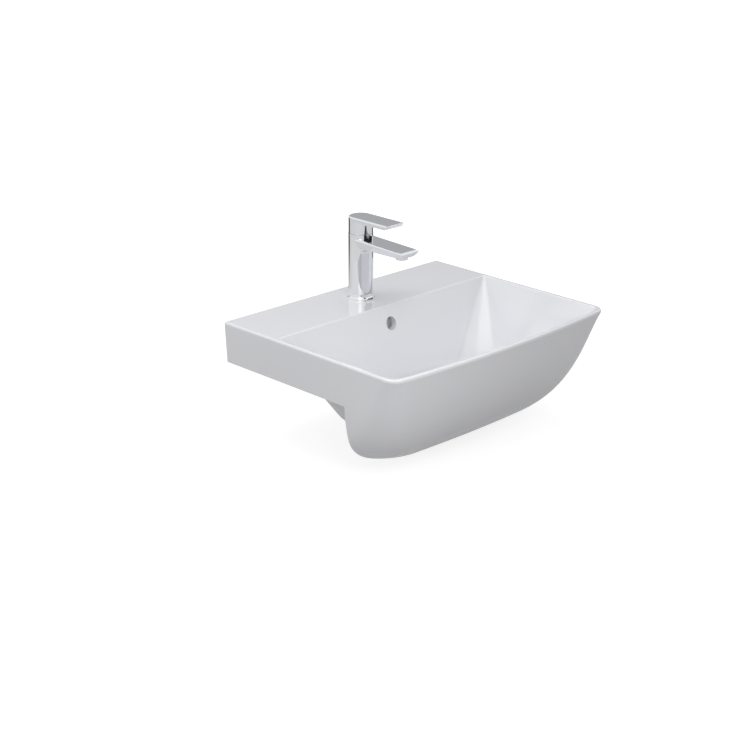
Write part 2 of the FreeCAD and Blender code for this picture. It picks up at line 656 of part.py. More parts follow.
def make_tap_body():
    """Turned column with its foot, spout, ball socket, cartridge seat and waterways."""
    radius = "sizes.tap_radius"
    top = on_deck("sizes.seam_height")
    deck = on_deck("0")
    foot = "sizes.tap_foot"
    column = turned("column", (
        ("0", deck), (foot, deck), (foot, f"{deck} + 1.6"), (f"{foot} - 0.9", f"{deck} + 3.2"),
        (f"{radius} + 0.5", f"{deck} + 6"), (radius, f"{deck} + 11"), (radius, top), ("0", top)), TAP)
    arch = "sizes.spout_arch"
    slope = "(sizes.spout_tip_foot - sizes.spout_root_foot) / sizes.spout_reach"
    under = on_deck(f"sizes.spout_root_foot + {slope} * ({radius} + {arch})")
    spout_arch = flare("spout_arch", radius, arch, "sizes.spout_tip_half - sizes.spout_turn_in - 1", under, 1)
    ramp = "sizes.seam_height - sizes.spout_root_top + sizes.spout_ramp_drop"
    spout_ramp = flare("spout_ramp", radius, f"({ramp})", "sizes.spout_root_half - 3",
                       f"{top} - ({ramp})", -1)
    arm = fused("curved_spout", make_spout(), spout_arch, spout_ramp)
    solid = fused("tap_outside", arm, column)

    inside_deck = f"{deck} - 1"
    socket = sphere("ball_socket", "sizes.socket_radius", TAP, on_deck("sizes.pivot_height"))
    thread = cylinder("cartridge_thread", "sizes.nut_radius + 0.1", "16", back=TAP, up=on_deck("sizes.flange_low"))
    seat = cylinder("cartridge_space", "sizes.cartridge_seat + 0.2", "10", back=TAP, up=on_deck("sizes.cartridge_foot"))
    outlet_back = f"{TAP} - sizes.outlet_reach"
    outlet_low = on_deck("sizes.spout_tip_foot - 6")
    outlet_high = on_deck("sizes.outlet_top")
    outlet = cylinder("outlet_space", "sizes.outlet_radius + 0.15", f"{outlet_high} - ({outlet_low})",
                      back=outlet_back, up=outlet_low)
    chamber = cylinder("outlet_chamber", "sizes.outlet_radius - 2", "7", back=outlet_back, up=f"{outlet_high} - 1.5")
    waterway = bind(doc.addObject("Part::Cylinder", "waterway"), Radius="2.7", Height="sizes.outlet_reach - 16")
    rising = FreeCAD.Rotation(FreeCAD.Vector(1, 0, 0), 90 - WATERWAY_RISE)
    waterway.Placement = FreeCAD.Placement(FreeCAD.Vector(), rising)
    place(waterway, back=f"{TAP} - 12", up=on_deck("sizes.cartridge_foot + 3"))
    groove = ring("seal_groove", "sizes.base_seal + 0.2", "sizes.base_seal_inside - 0.2", inside_deck, f"{deck} + 2", TAP)
    tools = [socket, thread, seat, outlet, chamber, waterway, groove]
    for side, hand in ((-1, "left"), (1, "right")):
        tools.append(cylinder(f"inlet_{hand}", "2.6", "sizes.cartridge_foot - 10", f"{side} * sizes.port_across",
                              f"{TAP} + sizes.port_behind", f"{deck} + 12"))
        tools.append(cylinder(f"hose_thread_{hand}", "sizes.hose_thread", "sizes.thread_depth + 1",
                              f"{side} * sizes.hose_across", f"{TAP} + sizes.hose_behind", inside_deck))
    tools.append(cylinder("stud_thread", "sizes.stud_radius", "sizes.thread_depth + 1", "0",
                          f"{TAP} - sizes.stud_ahead", inside_deck))
    return cut("tap_body", solid, *tools)


def make_tap_fixings():
    """The seal under the tap's foot, and what clamps the tap from below the deck."""
    deck = on_deck("0")
    under = on_deck("-sizes.deck_wall")
    stud_back = f"{TAP} - sizes.stud_ahead"
    stud = "sizes.stud_radius"
    finish(ring("tap_base_seal", "sizes.base_seal", "sizes.base_seal_inside", deck, f"{deck} + 1.9", TAP))
    hanging = "sizes.stud_length - sizes.thread_depth"
    finish(cylinder("stud_bar", stud, "sizes.stud_length", "0", stud_back, f"{deck} - ({hanging})"), "fixing_stud")
    thickness = "sizes.horseshoe_thickness"
    mouth_half = "sizes.horseshoe_mouth / 2"
    for name, low in (("horseshoe_seal", f"{under} - {thickness}"), ("horseshoe_plate", f"{under} - 2 * {thickness}")):
        disc = cylinder(f"{name}_disc", "sizes.horseshoe_radius", thickness, "0", TAP, low)
        mouth = box(f"{name}_mouth", "sizes.horseshoe_mouth", "40", "5", f"-{mouth_half}", f"{TAP} - 3.5",
                    f"{low} - 1")
        hole = cylinder(f"{name}_hole", f"{stud} + 0.3", "5", "0", stud_back, f"{low} - 1")
        finish(cut(f"{name}_cut", disc, mouth, hole), name)
    nut = "sizes.fixing_nut_height"
    nut_low = f"{under} - 2 * {thickness} - {nut}"
    hexagon = bind(doc.addObject("Part::Prism", "nut_hexagon"), Circumradius="7.5", Height=nut)
    hexagon.Polygon = 6
    place(hexagon, "0", stud_back, nut_low)
    thread = cylinder("nut_thread", stud, f"{nut} + 2", "0", stud_back, f"{nut_low} - 1")
    finish(cut("nut_cut", hexagon, thread), "fixing_nut")


def make_cartridge():
    """Housing, base, seals, the two ceramic discs, the guide that turns and the pin that the stem swings on."""
    seat_low = on_deck("sizes.cartridge_foot")
    base_low = f"{seat_low} + sizes.port_seal_height"
    fixed_low = f"{base_low} + sizes.base_thickness"
    moving_low = f"{fixed_low} + sizes.fixed_thickness + 0.1"
    carrier_low = f"{moving_low} + sizes.moving_thickness"
    bore = "sizes.cartridge_bore"
    body = "sizes.cartridge_body"
    flange = "sizes.cartridge_flange"
    flange_low = on_deck("sizes.flange_low")
    flange_top = on_deck("sizes.flange_top")
    top = on_deck("sizes.housing_top")
    under_lip = f"{top} - 2"
    lip = "sizes.housing_lip"
    foot_bore = "sizes.base_radius + 0.2"
    housing = turned("housing_blank", (
        (bore, fixed_low), (bore, under_lip), (lip, under_lip), (lip, top), (body, top), (body, flange_top),
        (flange, flange_top), (flange, flange_low), ("sizes.cartridge_seat", flange_low),
        ("sizes.cartridge_seat", f"{seat_low} + 2"), (foot_bore, f"{seat_low} + 2"), (foot_bore, fixed_low)), TAP)
    window = box("housing_window", "7", "10", "5", "-3.5", f"{TAP} - 19", f"{seat_low} + 1")
    finish(cut("housing_cut", housing, window), "cartridge_housing")

    port = "sizes.port_radius"
    ports = []
    disc_ports = []
    seals = []
    for name, across, behind in PORTS:
        back = f"{TAP} + {behind}"
        ports.append(cylinder(f"port_{name}", port, "12", across, back, f"{seat_low} - 1"))
        disc_ports.append(cylinder(f"disc_port_{name}", port, "8", across, back, f"{fixed_low} - 2"))
        if name != "outlet":
            seals.append(ring(f"port_seal_{name}", f"{port} + 1.6", f"{port} + 0.3", seat_low, base_low, back, across))
    ports.append(box("base_channel", f"2 * {port}", "12", "4", f"-{port}", f"{TAP} - sizes.port_ahead - 12",
                     f"{seat_low} + 1"))
    base = cylinder("base_disc", "sizes.base_radius", "sizes.base_thickness", "0", TAP, base_low)
    finish(cut("base_cut", base, *ports), "cartridge_base")
    finish(group("port_seals", seals), "cartridge_seals")
    fixed = cylinder("fixed_disc_blank", f"{bore} - 0.3", "sizes.fixed_thickness", "0", TAP, fixed_low)
    finish(cut("fixed_disc_cut", fixed, *disc_ports), "fixed_disc")
    behind = f"{TAP} + sizes.disc_offset"
    moving = cylinder("moving_disc_blank", "sizes.moving_radius", "sizes.moving_thickness", "0", behind, moving_low)
    pocket = box("disc_pocket", "9", "9", "2", "-4.5", f"{behind} - 4.5", f"{moving_low} - 0.5")
    finish(cut("moving_disc_cut", moving, pocket), "moving_disc")
    carrier = cylinder("carrier_blank", "sizes.moving_radius", "5", "0", behind, carrier_low)
    ball_hole = cylinder("ball_hole", "sizes.stem_ball + 0.3", "8", "0", TAP, f"{carrier_low} - 1")
    finish(cut("carrier_cut", carrier, ball_hole), "disc_carrier")

    pivot = on_deck("sizes.pivot_height")
    guide = "sizes.guide_radius"
    guide_low = f"{under_lip} - 4.5"
    neck = "sizes.guide_neck"
    neck_low = f"{under_lip} - 0.3"
    guide_top = f"{pivot} + 3"
    blank = turned("guide_blank", (
        ("0", guide_low), (guide, guide_low), (guide, neck_low), (neck, neck_low), (neck, guide_top),
        ("0", guide_top)), TAP)
    slot_width = "sizes.stem_square + 0.4"
    slot = box("guide_slot", slot_width, "sizes.guide_slot", "30", f"-({slot_width}) / 2",
               f"{TAP} - sizes.guide_slot / 2", f"{guide_low} - 4")
    pin = "sizes.pin_radius"
    pin_half = f"{neck} - 0.4"
    pin_hole = cross_cylinder("guide_pin_hole", pin, "24", "-12", TAP, pivot)
    finish(cut("guide_cut", blank, slot, pin_hole), "lever_guide")
    finish(cross_cylinder("pin_bar", pin, f"2 * ({pin_half})", f"-({pin_half})", TAP, pivot), "pivot_pin")

    nut_top = f"{flange_top} + sizes.nut_thickness"
    nut = ring("nut_blank", "sizes.nut_radius", f"{body} + 0.3", flange_top, nut_top, TAP)
    reach = "sizes.nut_radius + 2"
    slots = [box("nut_slot_across", f"2 * ({reach})", "4", "2", f"-({reach})", f"{TAP} - 2", f"{nut_top} - 1.4"),
             box("nut_slot_back", "4", f"2 * ({reach})", "2", "-2", f"{TAP} - ({reach})", f"{nut_top} - 1.4")]
    finish(cut("cartridge_nut_cut", nut, *slots), "cartridge_nut")
    make_dome(pivot, nut_top)


def make_dome(pivot, low):
    """The polished cover in the ball joint: a band of a ball, in short chords, over a screwed neck."""
    lowest = -math.degrees(math.acos(number("sizes.dome_neck / sizes.dome_radius")))
    inner = "(sizes.dome_radius - sizes.dome_wall)"
    outside = []
    inside = []
    for step in range(DOME_CHORDS + 1):
        angle = f"{round(lowest + (DOME_TOP - lowest) * step / DOME_CHORDS, 4)} deg"
        outside.append((f"sizes.dome_radius * cos({angle})", f"{pivot} + sizes.dome_radius * sin({angle})"))
        inside.append((f"{inner} * cos({angle})", f"{pivot} + {inner} * sin({angle})"))
    neck = "sizes.dome_neck"
    opening = "sizes.dome_opening"
    corners = [(opening, low), (neck, low), *outside, *reversed(inside), (opening, inside[0][1])]
    finish(turned("dome_cover", corners, TAP))


def make_lever():
    """Lever with its hollow ball-ended hub, the square stem, its grub screw and the cap over the screw."""
    centre = on_deck("sizes.pivot_height")
    top = on_deck("sizes.lever_height")
    under = on_deck("sizes.lever_height - sizes.lever_thickness")
    radius = "sizes.hub_radius"
    reach = "sizes.lever_reach"
    ball_depth = "sizes.hub_ball_depth"
    ball = common("hub_ball", cylinder("hub_foot", radius, ball_depth, "0", TAP, f"{centre} - {ball_depth}"),
                  sphere("hub_sphere", "sizes.ball_radius", TAP, centre))
    drum = cylinder("hub_drum", radius, f"{under} - ({centre}) + 1", "0", TAP, centre)
    blade = make_blade(radius, reach, under)
    tip = f"-{reach}"
    beyond = "20"
    slant = side_pad("blade_slant", (
        (f"{tip} - {beyond}", f"{top} + 1"), (tip, f"{top} + 1"), (tip, top),
        (f"{tip} + 0.8", f"{top} - sizes.lever_nose"), (f"{tip} + sizes.lever_undercut", under),
        (f"{tip} + sizes.lever_undercut", f"{under} - 1"), (f"{tip} - {beyond}", f"{under} - 1")),
        f"4 * {radius}", TAP)
    throat = flare("hub_throat", radius, "sizes.hub_throat_size", f"{radius} - 0.3", under, 1)
    solid = fused("lever_outside", ball, drum, cut("blade_shape", blade, slant), throat)

    roof = f"{top} - sizes.hub_roof"
    inside = common("hub_space", sphere("hub_hollow", "sizes.hub_inside", TAP, centre),
                    cylinder("hub_roof", f"{radius} * 1.3", f"{roof} - ({centre}) + 30", "0", TAP, f"{centre} - 30"))
    hub = cut("hub_shell", solid, inside)
    boss_low = f"{centre} + 8"
    boss = cylinder("stem_boss", "7.5", f"{top} - 1 - ({boss_low})", "0", TAP, boss_low)
    square = "sizes.stem_square"
    stem_hole = box("stem_hole", square, square, "13.5", f"-{square} / 2", f"{TAP} - {square} / 2", f"{centre} + 5")
    screw_up = f"{centre} + sizes.screw_height"
    screw = "sizes.screw_radius"
    screw_back = f"{TAP} + {square} / 2"
    cap_back = f"{TAP} + 20"
    screw_hole = back_cylinder("screw_hole", screw, "9", f"{TAP} + 1", screw_up)
    key_hole = back_cylinder("key_hole", f"{screw} + 0.2", "16", f"{TAP} + 9.5", screw_up)
    cap_hole = back_cylinder("cap_hole", "sizes.cap_radius + 0.1", "10", cap_back, screw_up)
    bossed = fused("lever_with_boss", hub, boss)
    finish(cut("lever_cut", bossed, stem_hole, screw_hole, key_hole, cap_hole), "tap_lever")

    bar = box("stem_bar", square, square, "21", f"-{square} / 2", f"{TAP} - {square} / 2", f"{centre} - {square} / 2")
    arm = cylinder("stem_arm_bar", "1.9", "sizes.stem_arm", "0", TAP, f"{centre} - sizes.stem_arm")
    knob = sphere("stem_knob", "sizes.stem_ball", TAP, f"{centre} - sizes.stem_arm")
    eye = cross_cylinder("stem_eye", "sizes.pin_radius + 0.05", "20", "-10", TAP, centre)
    finish(cut("stem_cut", fused("stem_solid", bar, arm, knob), eye), "lever_stem")
    finish(back_cylinder("screw_bar", screw, "6", screw_back, screw_up), "grub_screw")
    cap = common("cap_solid", back_cylinder("cap_bar", "sizes.cap_radius", "6", cap_back, screw_up),
                 cylinder("cap_limit", radius, "20", "0", TAP, f"{screw_up} - 10"))
    finish(cap, "screw_cap")


def make_blade(radius, reach, under):
    """The lever's flat arm: straight sides that run on from the round hub, with a rounded upper edge."""
    blade = doc.addObject("PartDesign::Body", "blade")
    plan = new_sketch(blade, "blade_plan")
    half = number(radius)
    out = number(reach)
    corners = [FreeCAD.Vector(half, 0, 0), FreeCAD.Vector(-half, 0, 0), FreeCAD.Vector(-half, -out, 0),
               FreeCAD.Vector(half, -out, 0)]
    back = plan.addGeometry(Part.ArcOfCircle(
        Part.Circle(FreeCAD.Vector(), FreeCAD.Vector(0, 0, 1), half), 0, math.pi))
    left, nose, right = [plan.addGeometry(Part.LineSegment(first, second))
                         for first, second in zip(corners[1:], corners[2:] + corners[:1])]
    for first, second in ((back, left), (left, nose), (nose, right), (right, back)):
        plan.addConstraint(Sketcher.Constraint("Coincident", first, END, second, START))
    plan.addConstraint(Sketcher.Constraint("Coincident", back, CENTRE, -1, 1))
    plan.addConstraint(Sketcher.Constraint("PointOnObject", left, START, -1))
    plan.addConstraint(Sketcher.Constraint("PointOnObject", right, END, -1))
    plan.addConstraint(Sketcher.Constraint("Vertical", left))
    plan.addConstraint(Sketcher.Constraint("Vertical", right))
    plan.addConstraint(Sketcher.Constraint("Horizontal", nose))
    hold(plan, "Radius", back, size=radius)
    hold(plan, "DistanceY", nose, START, size=f"-{reach}")
    pad = blade.newObject("PartDesign::Pad", "blade_pad")
    pad.Profile = (plan, [""])
    bind(pad, Length="sizes.lever_thickness")
    blade.Tip = pad
    doc.recompute()
    high = number("sizes.lever_thickness") - 0.01

    def side_on_top(edge):
        limits = edge.BoundBox
        return limits.ZMin > high and limits.YMax > -0.01
    dress(blade, "Fillet", "blade_top_round", pad, edge_names(pad, side_on_top), Radius="sizes.lever_edge")
    return place(blade, back=TAP, up=under)


def make_aerator():
    """Aerator screwed into the spout: ring, insert and seal."""
    low = on_deck("sizes.spout_tip_foot - sizes.outlet_drop")
    seal_high = on_deck("sizes.outlet_top")
    high = f"{seal_high} - 1"
    back = f"{TAP} - sizes.outlet_reach"
    outside = "sizes.outlet_radius"
    bore = f"{outside} - 1.6"
    lip = f"{bore} - 0.8"
    finish(turned("aerator_housing", (
        (lip, low), (outside, low), (outside, high), (bore, high), (bore, f"{low} + 1"), (lip, f"{low} + 1")), back))
    insert = cylinder("insert_disc", f"{bore} - 0.05", "8", "0", back, f"{low} + 1")
    hole = "1.6"
    holes = [cylinder("insert_hole_middle", hole, "12", "0", back, low)]
    for count in range(AERATOR_HOLES):
        angle = f"{360 * count / AERATOR_HOLES} deg"
        holes.append(cylinder(f"insert_hole_{count}", hole, "12", f"sizes.insert_circle * cos({angle})",
                              f"{back} + sizes.insert_circle * sin({angle})", low))
    finish(cut("insert_cut", insert, *holes), "aerator_insert")
    finish(ring("aerator_seal", outside, f"{outside} - 1.8", high, seal_high, back))


# ---------------------------------------------------------------- waste

def coil_spring(name, radius, wire, low, length, turns, back):
    """A compression spring of square wire between two heights."""
    body = doc.addObject("PartDesign::Body", name)
    inner = f"{radius} - {wire} / 2"
    outer = f"{radius} + {wire} / 2"
    section = profile(body, f"{name}_wire", (
        (inner, low), (outer, low), (outer, f"{low} + {wire}"), (inner, f"{low} + {wire}")))
    coil = body.newObject("PartDesign::AdditiveHelix", f"{name}_coil")
    coil.Profile = (section, [""])
    coil.ReferenceAxis = (section, ["V_Axis"])
    coil.Mode = 2
    coil.Turns = turns
    bind(coil, Height=f"{length} - {wire}")
    body.Tip = coil
    return place(body, back=back)


def make_waste():
    """Flanged waste with overflow slots and a crossbar, its seals and nut, and the click plug."""
    drain = "-sizes.drain_setback"
    sunk_floor = "sizes.rim_height - sizes.bowl_depth - sizes.floor_dish"
    recess = f"{sunk_floor} - sizes.drain_recess_depth"
    boss_foot = f"{sunk_floor} - sizes.drain_boss_height"
    flange = "sizes.waste_flange"
    flange_foot = f"{recess} + sizes.flange_seal"
    flange_top = f"{flange_foot} + 3"
    tube = "sizes.waste_radius"
    bore = "sizes.waste_bore"
    end = f"{flange_top} - sizes.waste_length"
    finish(ring("waste_flange_seal", f"{flange} - 1", "sizes.drain_hole + 0.3", recess, flange_foot, drain))

    seal_foot = f"{boss_foot} - sizes.lower_seal"
    nut_height = "sizes.waste_nut_height"
    nut_foot = f"{seal_foot} - {nut_height}"
    relief = f"{tube} - 0.75"
    relief_foot = f"{nut_foot} - 2"
    blank = turned("waste_blank", (
        (bore, end), (tube, end), (tube, relief_foot), (relief, relief_foot), (relief, nut_foot), (tube, nut_foot),
        (tube, flange_foot), (flange, flange_foot), (flange, f"{flange_top} - 1"), (f"{flange} - 1.5", flange_top),
        (f"{bore} + 1.5", flange_top), (bore, f"{flange_top} - 1.5")), drain)
    slot = "sizes.waste_slot"
    slots = box("overflow_slots", f"3 * {tube}", slot, "13", f"-1.5 * {tube}", f"{drain} - {slot} / 2",
                f"{recess} - 22")
    slotted = cut("waste_slotted", blank, slots)
    bar_up = f"{recess} - 30"
    bar_high = "5"
    bar = common("crossbar_fit", box("crossbar", "50", "5", bar_high, "-25", f"{drain} - 2.5", bar_up),
                 cylinder("crossbar_limit", f"{bore} + 0.8", "10", "0", drain, f"{bar_up} - 2"))
    hub = "sizes.click_radius"
    stem = "sizes.click_stem"
    eye = cylinder("crossbar_eye", hub, bar_high, "0", drain, bar_up)
    thread = cylinder("crossbar_thread", stem, "12", "0", drain, f"{bar_up} - 3")
    finish(cut("waste_cut", fused("waste_solid", slotted, bar, eye), thread), "waste_body")

    finish(turned("waste_lower_seal", (
        (f"{tube} + 0.1", seal_foot), ("30", seal_foot), ("27", boss_foot), (f"{tube} + 0.1", boss_foot)), drain))
    hexagon = bind(doc.addObject("Part::Prism", "waste_nut_hexagon"), Circumradius="32", Height=nut_height)
    hexagon.Polygon = 6
    place(hexagon, "0", drain, nut_foot)
    rounded = cylinder("waste_nut_round", "30.2", nut_height, "0", drain, nut_foot)
    nut = cut("waste_nut_cut", common("waste_nut_shape", hexagon, rounded),
              cylinder("waste_nut_bore", tube, "20", "0", drain, f"{nut_foot} - 4"))
    finish(nut, "waste_nut")
    make_click_plug(drain, bar_up, f"{bar_up} + {bar_high}", f"{flange_top} + 0.3")


def make_click_plug(drain, bar_foot, bar_top, cap_foot):
    """The click plug: housing screwed into the crossbar, plunger, spring, cap and the cap's seal."""
    hub = "sizes.click_radius"
    stem = "sizes.click_stem"
    wall = "1.1"
    bore = f"{hub} - {wall}"
    top = f"{bar_top} + sizes.click_height"
    floor = f"{bar_top} + 1.5"
    finish(turned("click_housing", (
        ("0", f"{bar_foot} - 1"), (stem, f"{bar_foot} - 1"), (stem, bar_top), (hub, bar_top), (hub, top),
        (f"{stem} + 0.4", top), (f"{stem} + 0.4", f"{top} - 1.5"), (bore, f"{top} - 1.5"), (bore, floor),
        ("0", floor)), drain))
    spring = "sizes.click_spring"
    head_low = f"{floor} + {spring}"
    head_high = f"{head_low} + 2"
    finish(turned("click_plunger", (
        ("0", head_low), (f"{stem} + 1.6", head_low), (f"{stem} + 1.6", head_high), (stem, head_high),
        (stem, f"{cap_foot} + 1"), ("0", f"{cap_foot} + 1")), drain))
    finish(coil_spring("click_spring", f"{stem} + 1.2", "0.7", floor, spring, SPRING_TURNS, drain))
    plug = "sizes.plug_radius"
    finish(turned("plug_cap", (
        (stem, cap_foot), (plug, cap_foot), (plug, f"{cap_foot} + 1.2"), (f"{plug} - 1.2", f"{cap_foot} + 2.4"),
        (f"{plug} * 0.7", f"{cap_foot} + 4"), (f"{plug} * 0.36", f"{cap_foot} + 4.9"), ("0", f"{cap_foot} + 5.2"),
        ("0", f"{cap_foot} + 1"), (stem, f"{cap_foot} + 1")), drain))
    lip = "sizes.waste_bore - 0.3"
    finish(ring("plug_seal", lip, f"{lip} - 3", f"{cap_foot} - 2.4", cap_foot, drain))


finish(make_basin_body())
finish(make_tap_body())
make_tap_fixings()
make_cartridge()
make_lever()
make_aerator()
make_waste()
doc.recompute()


def check_and_write():
    """Stop if anything failed; otherwise write one file for each sub-part."""
    faults = [thing.Name for thing in doc.Objects if "Invalid" in thing.State or "Error" in thing.State]
    for part in sub_parts:
        if part.Shape.isNull() or not part.Shape.isValid():
            faults.append(part.Label)
    if faults:
        raise RuntimeError(f"failed: {faults}")
    os.makedirs("parts", exist_ok=True)
    for part in sub_parts:
        print(part.Label, round(part.Shape.Volume / 1000, 2), "cm3", len(part.Shape.Solids), len(part.Shape.Faces))
        part.Shape.exportStep(os.path.join("parts", f"{part.Label}.step"))


check_and_write()
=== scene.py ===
import json
import math

import bpy
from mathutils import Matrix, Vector


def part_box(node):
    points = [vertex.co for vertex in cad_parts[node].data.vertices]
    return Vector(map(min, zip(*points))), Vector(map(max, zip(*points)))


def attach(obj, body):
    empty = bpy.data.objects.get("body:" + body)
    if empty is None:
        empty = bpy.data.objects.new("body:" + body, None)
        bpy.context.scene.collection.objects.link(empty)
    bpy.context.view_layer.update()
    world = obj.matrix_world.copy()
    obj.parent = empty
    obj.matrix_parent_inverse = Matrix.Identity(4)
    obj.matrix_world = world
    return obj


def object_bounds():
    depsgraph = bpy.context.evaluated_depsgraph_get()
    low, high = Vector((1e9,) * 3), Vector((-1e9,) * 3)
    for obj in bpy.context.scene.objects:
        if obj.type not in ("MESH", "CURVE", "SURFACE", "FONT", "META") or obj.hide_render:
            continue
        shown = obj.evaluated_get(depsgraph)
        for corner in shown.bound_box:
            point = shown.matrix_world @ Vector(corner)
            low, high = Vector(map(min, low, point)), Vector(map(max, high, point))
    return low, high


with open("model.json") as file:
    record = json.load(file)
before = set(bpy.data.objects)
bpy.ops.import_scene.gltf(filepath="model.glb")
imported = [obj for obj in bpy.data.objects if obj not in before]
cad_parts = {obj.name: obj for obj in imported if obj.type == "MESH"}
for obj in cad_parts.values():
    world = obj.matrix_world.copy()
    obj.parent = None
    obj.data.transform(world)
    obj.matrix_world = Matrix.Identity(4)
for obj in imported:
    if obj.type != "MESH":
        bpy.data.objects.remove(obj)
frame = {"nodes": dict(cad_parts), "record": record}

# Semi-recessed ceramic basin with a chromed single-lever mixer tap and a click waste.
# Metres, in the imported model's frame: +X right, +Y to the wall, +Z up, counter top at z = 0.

cad_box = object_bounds()


def axis_back(node):
    """The y at which a round node's upright axis stands."""
    low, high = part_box(node)
    return (low.y + high.y) / 2


TAP_BACK = axis_back("dome_cover")
DRAIN_BACK = axis_back("plug_cap")

# ---------------------------------------------------------------- placing and node helpers


def set_up(thing, place, direction, front):
    """Link an object to the scene at a place, with its front axis turned to a direction."""
    bpy.context.scene.collection.objects.link(thing)
    thing.location = place
    thing.rotation_mode = "QUATERNION"
    thing.rotation_quaternion = Vector(direction).to_track_quat(front, "Y")


def rectangle(name, half_width, half_height, level=0.0):
    """A flat piece round its own origin, not yet linked, and the node tree of its material."""
    x = half_width
    y = half_height
    corners = [(-x, -y, level), (x, -y, level), (x, y, level), (-x, y, level)]
    mesh = bpy.data.meshes.new(name)
    mesh.from_pydata(corners, [], [(0, 1, 2, 3)])
    material = bpy.data.materials.new(name)
    material.use_nodes = True
    mesh.materials.append(material)
    return bpy.data.objects.new(name, mesh), material.node_tree


def maths(tree, operation, first, second):
    """The result of a Math node on another node's output and a second output or a plain number."""
    node = tree.nodes.new("ShaderNodeMath")
    node.operation = operation
    tree.links.new(first, node.inputs[0])
    if isinstance(second, bpy.types.NodeSocket):
        tree.links.new(second, node.inputs[1])
    else:
        node.inputs[1].default_value = second
    return node.outputs[0]


def mapped(tree, value, low, high, from_low=0.0, from_high=1.0):
    """A value mapped from one range to another, and held at its ends."""
    mapping = tree.nodes.new("ShaderNodeMapRange")
    mapping.inputs["From Min"].default_value = from_low
    mapping.inputs["From Max"].default_value = from_high
    mapping.inputs["To Min"].default_value = low
    mapping.inputs["To Max"].default_value = high
    tree.links.new(value, mapping.inputs["Value"])
    return mapping.outputs["Result"]


# ---------------------------------------------------------------- camera

CAMERA_PLACE = (-2.1030, -2.2524, 1.0564)
CAMERA_YAW = 44.44          # degrees from +Y towards +X
CAMERA_PITCH = 20.56        # degrees below the horizon
LENS = 80.37                # millimetres
SENSOR = 36                 # millimetres
NEAREST_SEEN = 0.05
FARTHEST_SEEN = 60


def make_camera():
    """The camera at the photograph's viewing angle."""
    data = bpy.data.cameras.new("photo_camera")
    data.lens = LENS
    data.sensor_width = SENSOR
    data.clip_start = NEAREST_SEEN
    data.clip_end = FARTHEST_SEEN
    yaw = math.radians(CAMERA_YAW)
    pitch = math.radians(CAMERA_PITCH)
    looking = (math.sin(yaw) * math.cos(pitch), math.cos(yaw) * math.cos(pitch), -math.sin(pitch))
    camera = bpy.data.objects.new("photo_camera", data)
    set_up(camera, CAMERA_PLACE, looking, "-Z")
    bpy.context.scene.camera = camera


make_camera()

# ---------------------------------------------------------------- world, floor, lamps and cards

WORLD_LIGHT = 0.41          # fill from all round, as a share of white
FLOOR_REACH = 30            # from the floor's middle to its edges
FLOOR_TONE = 0.42
FLOOR_ROUGHNESS = 0.9
FLOOR_SPECULAR = 0.1
FLOOR_GLOW = 0.8            # what the floor near the object gives off to the camera, to show white
GLOW_RISES_FROM = 0.5       # between these distances the glow rises to 1
GLOW_RISES_TO = 1.6
FLOOR_MIRRORED = 0.45       # the share of the glow that the glaze and the chrome mirror
CARD_BLUE = 1.04            # the cards' blue against their red and green


def shown_white(tree, dim, mirrored=1.0):
    """A backdrop's strength: 1 to the camera and through glass, a share in mirrors, dim as a light."""
    path = tree.nodes.new("ShaderNodeLightPath")
    reflection = maths(tree, "MULTIPLY", path.outputs["Is Glossy Ray"], mirrored)
    seen = maths(tree, "MAXIMUM", path.outputs["Is Camera Ray"], reflection)
    either = maths(tree, "MAXIMUM", seen, path.outputs["Is Transmission Ray"])
    return mapped(tree, either, dim, 1.0)


def make_world():
    """An even studio all round, shown white."""
    world = bpy.data.worlds.new("studio")
    bpy.context.scene.world = world
    world.use_nodes = True
    background = world.node_tree.nodes["Background"]
    background.inputs["Color"].default_value = (1, 1, 1, 1)
    world.node_tree.links.new(shown_white(world.node_tree, WORLD_LIGHT), background.inputs["Strength"])


def make_floor(level):
    """A wide pale floor at a level: white where the light reaches it, darker in the object's shadow."""
    floor, tree = rectangle("studio_floor", FLOOR_REACH, FLOOR_REACH, level)
    surface = tree.nodes["Principled BSDF"]
    surface.inputs["Base Color"].default_value = (FLOOR_TONE, FLOOR_TONE, FLOOR_TONE, 1)
    surface.inputs["Roughness"].default_value = FLOOR_ROUGHNESS
    surface.inputs["Specular IOR Level"].default_value = FLOOR_SPECULAR
    place = tree.nodes.new("ShaderNodeTexCoord")
    distance = tree.nodes.new("ShaderNodeVectorMath")
    distance.operation = "LENGTH"
    tree.links.new(place.outputs["Object"], distance.inputs[0])
    rising = mapped(tree, distance.outputs["Value"], FLOOR_GLOW, 1.0, GLOW_RISES_FROM, GLOW_RISES_TO)
    strength = maths(tree, "MULTIPLY", shown_white(tree, 0.0, FLOOR_MIRRORED), rising)
    glow = tree.nodes.new("ShaderNodeEmission")
    tree.links.new(strength, glow.inputs["Strength"])
    both = tree.nodes.new("ShaderNodeAddShader")
    tree.links.new(surface.outputs[0], both.inputs[0])
    tree.links.new(glow.outputs[0], both.inputs[1])
    tree.links.new(both.outputs[0], tree.nodes["Material Output"].inputs["Surface"])
    bpy.context.scene.collection.objects.link(floor)


def area_light(name, place, target, width, height, power, mirrored=True):
    """A soft lamp, in watts, turned to its target; one that isn't mirrored leaves no highlight."""
    data = bpy.data.lights.new(name, "AREA")
    data.shape = "RECTANGLE"
    data.size = width
    data.size_y = height
    data.energy = power
    lamp = bpy.data.objects.new(name, data)
    lamp.visible_camera = False
    lamp.visible_glossy = mirrored
    set_up(lamp, place, Vector(target) - Vector(place), "-Z")


